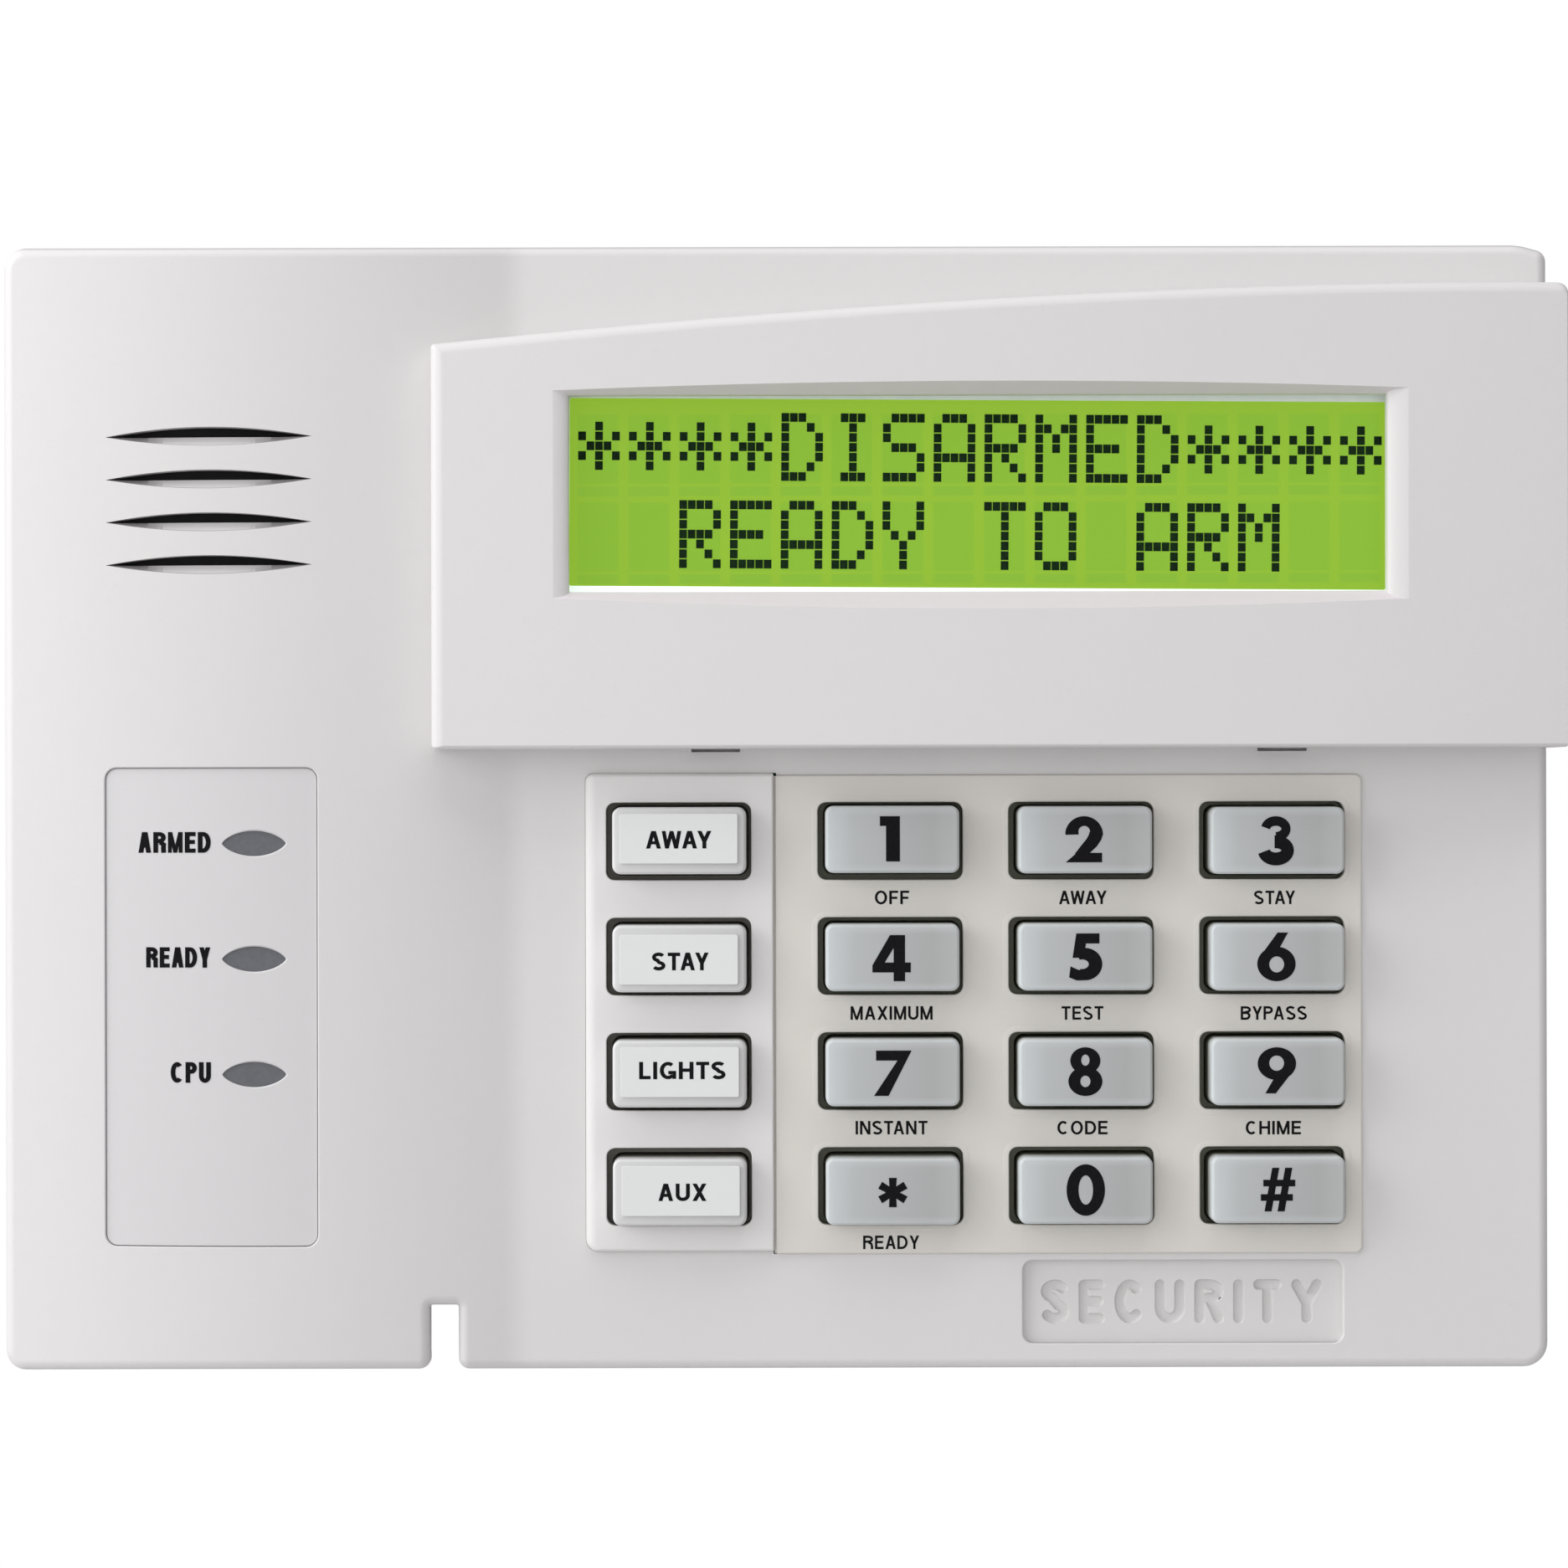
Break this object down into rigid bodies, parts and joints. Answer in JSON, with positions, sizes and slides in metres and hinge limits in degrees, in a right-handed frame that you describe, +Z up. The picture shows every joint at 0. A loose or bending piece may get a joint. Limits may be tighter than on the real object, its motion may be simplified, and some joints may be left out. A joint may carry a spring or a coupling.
{
  "type": "alarm keypad panel",
  "caption": "Wall alarm keypad: white plastic case, raised display hood with a green two-line LCD, speaker slots, status lights, digit keys and labelled function keys.",
  "frame": {"origin": "centre of the back plate's wall face, between the screw slots", "axes": "+Z up, +X to the right of somebody facing the panel, front faces -Y, +Y into the wall"},
  "size_m": [0.1858, 0.0328, 0.1342],
  "materials": {
    "case_white": "fine satin moulded ABS",
    "back_white": "satin moulded ABS",
    "surround_ivory": "satin moulded ABS, slightly warm",
    "clear_rubber": "translucent whitish silicone",
    "silicone_grey": "bluish grey silicone, matt",
    "sticker": "printed film label",
    "status_film": "printed satin film",
    "smoked_lens": "smoked light pipe",
    "mat_rubber": "matt rubber",
    "board_green": "solder mask over glass fibre",
    "lcd_metal": "dark stamped steel",
    "lcd_green": "backlit yellow-green display",
    "light_panel": "diffusing light guide",
    "clear_lens": "clear acrylic window",
    "black_plastic": "moulded black",
    "led_diffuse": "diffused epoxy",
    "steel": "plated steel",
    "ferrite": "ferrite magnet",
    "paper_cone": "black paper",
    "felt": "black felt",
    "terminal_green": "moulded green",
    "zinc": "zinc plated"
  },
  "bodies": {
    "housing": {"front_case": "case_white", "back_plate": "back_white", "keypad_surround": "surround_ivory", "function_key_strip": "clear_rubber", "key_mat": "mat_rubber", "main_board": "board_green", "lcd_board": "board_green", "lcd_frame": "lcd_metal", "lcd_backlight": "light_panel", "lcd_glass": "lcd_green", "lcd_window": "clear_lens", "lcd_header": "black_plastic", "status_label": "status_film", "speaker_basket": "steel", "speaker_cone": "paper_cone", "speaker_magnet": "ferrite", "speaker_felt": "felt", "terminal_block": "terminal_green", "processor_chip": "black_plastic", "terminal_screw_1": "zinc", "board_screw_1": "steel", "terminal_screw_2": "zinc", "board_screw_2": "steel", "terminal_screw_3": "zinc", "board_screw_3": "steel", "terminal_screw_4": "zinc", "board_screw_4": "steel", "light_pipe_armed": "smoked_lens", "light_pipe_ready": "smoked_lens", "light_pipe_cpu": "smoked_lens", "status_led_1": "led_diffuse", "status_led_2": "led_diffuse", "status_led_3": "led_diffuse"},
    "key_1": {"key_1": "silicone_grey"},
    "key_2": {"key_2": "silicone_grey"},
    "key_3": {"key_3": "silicone_grey"},
    "key_4": {"key_4": "silicone_grey"},
    "key_5": {"key_5": "silicone_grey"},
    "key_6": {"key_6": "silicone_grey"},
    "key_7": {"key_7": "silicone_grey"},
    "key_8": {"key_8": "silicone_grey"},
    "key_9": {"key_9": "silicone_grey"},
    "key_star": {"key_star": "silicone_grey"},
    "key_0": {"key_0": "silicone_grey"},
    "key_hash": {"key_hash": "silicone_grey"},
    "function_key_1": {"function_key_1": "clear_rubber", "function_label_1": "sticker"},
    "function_key_2": {"function_key_2": "clear_rubber", "function_label_2": "sticker"},
    "function_key_3": {"function_key_3": "clear_rubber", "function_label_3": "sticker"},
    "function_key_4": {"function_key_4": "clear_rubber", "function_label_4": "sticker"}
  },
  "joints": [
    {"name": "key_1_press", "type": "slide", "parent": "housing", "child": "key_1", "axis": [0, 1, 0], "range_m": [0, 0.0012], "stiffness_N_per_m": 1200},
    {"name": "key_2_press", "type": "slide", "parent": "housing", "child": "key_2", "axis": [0, 1, 0], "range_m": [0, 0.0012], "stiffness_N_per_m": 1200},
    {"name": "key_3_press", "type": "slide", "parent": "housing", "child": "key_3", "axis": [0, 1, 0], "range_m": [0, 0.0012], "stiffness_N_per_m": 1200},
    {"name": "key_4_press", "type": "slide", "parent": "housing", "child": "key_4", "axis": [0, 1, 0], "range_m": [0, 0.0012], "stiffness_N_per_m": 1200},
    {"name": "key_5_press", "type": "slide", "parent": "housing", "child": "key_5", "axis": [0, 1, 0], "range_m": [0, 0.0012], "stiffness_N_per_m": 1200},
    {"name": "key_6_press", "type": "slide", "parent": "housing", "child": "key_6", "axis": [0, 1, 0], "range_m": [0, 0.0012], "stiffness_N_per_m": 1200},
    {"name": "key_7_press", "type": "slide", "parent": "housing", "child": "key_7", "axis": [0, 1, 0], "range_m": [0, 0.0012], "stiffness_N_per_m": 1200},
    {"name": "key_8_press", "type": "slide", "parent": "housing", "child": "key_8", "axis": [0, 1, 0], "range_m": [0, 0.0012], "stiffness_N_per_m": 1200},
    {"name": "key_9_press", "type": "slide", "parent": "housing", "child": "key_9", "axis": [0, 1, 0], "range_m": [0, 0.0012], "stiffness_N_per_m": 1200},
    {"name": "key_star_press", "type": "slide", "parent": "housing", "child": "key_star", "axis": [0, 1, 0], "range_m": [0, 0.0012], "stiffness_N_per_m": 1200},
    {"name": "key_0_press", "type": "slide", "parent": "housing", "child": "key_0", "axis": [0, 1, 0], "range_m": [0, 0.0012], "stiffness_N_per_m": 1200},
    {"name": "key_hash_press", "type": "slide", "parent": "housing", "child": "key_hash", "axis": [0, 1, 0], "range_m": [0, 0.0012], "stiffness_N_per_m": 1200},
    {"name": "function_key_1_press", "type": "slide", "parent": "housing", "child": "function_key_1", "axis": [0, 1, 0], "range_m": [0, 0.0012], "stiffness_N_per_m": 1200},
    {"name": "function_key_2_press", "type": "slide", "parent": "housing", "child": "function_key_2", "axis": [0, 1, 0], "range_m": [0, 0.0012], "stiffness_N_per_m": 1200},
    {"name": "function_key_3_press", "type": "slide", "parent": "housing", "child": "function_key_3", "axis": [0, 1, 0], "range_m": [0, 0.0012], "stiffness_N_per_m": 1200},
    {"name": "function_key_4_press", "type": "slide", "parent": "housing", "child": "function_key_4", "axis": [0, 1, 0], "range_m": [0, 0.0012], "stiffness_N_per_m": 1200}
  ]
}
